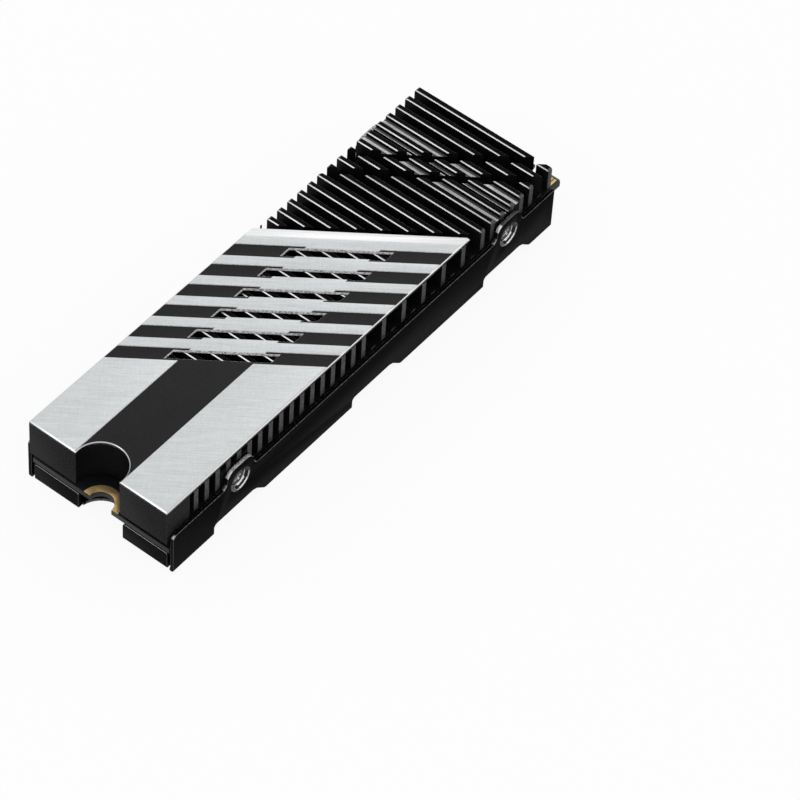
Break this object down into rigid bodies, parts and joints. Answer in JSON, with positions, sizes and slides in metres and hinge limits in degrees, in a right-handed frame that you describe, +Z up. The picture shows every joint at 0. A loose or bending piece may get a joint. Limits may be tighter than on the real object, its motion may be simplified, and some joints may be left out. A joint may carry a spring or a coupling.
{
  "type": "solid state drive with heatsink",
  "caption": "Flat drive board held between a finned black heatsink with a slotted, striped silver plate and a screwed sheet tray, its contact tongue showing at one end.",
  "frame": {"origin": "middle of the underside of the whole part", "axes": "+X along the length towards the contact tongue, +Z up from the tray's floor to the plate"},
  "size_m": [0.0804, 0.0234, 0.0114],
  "materials": {
    "black_anodised": "black anodised, satin",
    "brushed_plate": "brushed, with black anodised stripes",
    "black_sheet": "black, satin",
    "black_screw": "blackened steel",
    "blue_pad": "soft, matte",
    "grey_pad": "soft, matte",
    "board_laminate": "black solder mask with gold plated contacts",
    "chip_moulding": "matte moulding",
    "label_film": "plain black film",
    "ferrite": "matte ferrite",
    "crystal_can": "satin metal can",
    "capacitor_ceramic": "sintered ceramic"
  },
  "bodies": {
    "root": {"finned_heatsink": "black_anodised", "top_plate": "brushed_plate", "base_tray": "black_sheet", "screw_front_left": "black_screw", "screw_front_right": "black_screw", "screw_rear_left": "black_screw", "screw_rear_right": "black_screw", "lower_thermal_pad": "blue_pad", "upper_thermal_pad": "grey_pad", "circuit_board": "board_laminate", "top_memory_chip_1": "chip_moulding", "top_memory_chip_2": "chip_moulding", "bottom_memory_chip_1": "chip_moulding", "bottom_memory_chip_2": "chip_moulding", "top_buffer_chip": "chip_moulding", "bottom_buffer_chip": "chip_moulding", "controller_chip": "chip_moulding", "power_chip": "chip_moulding", "drive_label": "label_film", "inductor_1": "ferrite", "inductor_2": "ferrite", "inductor_3": "ferrite", "clock_crystal": "crystal_can", "left_capacitor_1": "capacitor_ceramic", "left_capacitor_2": "capacitor_ceramic", "left_capacitor_3": "capacitor_ceramic", "right_capacitor_1": "capacitor_ceramic", "right_capacitor_2": "capacitor_ceramic", "right_capacitor_3": "capacitor_ceramic", "coupling_capacitor_1": "capacitor_ceramic", "coupling_capacitor_2": "capacitor_ceramic", "coupling_capacitor_3": "capacitor_ceramic", "coupling_capacitor_4": "capacitor_ceramic"}
  },
  "joints": []
}
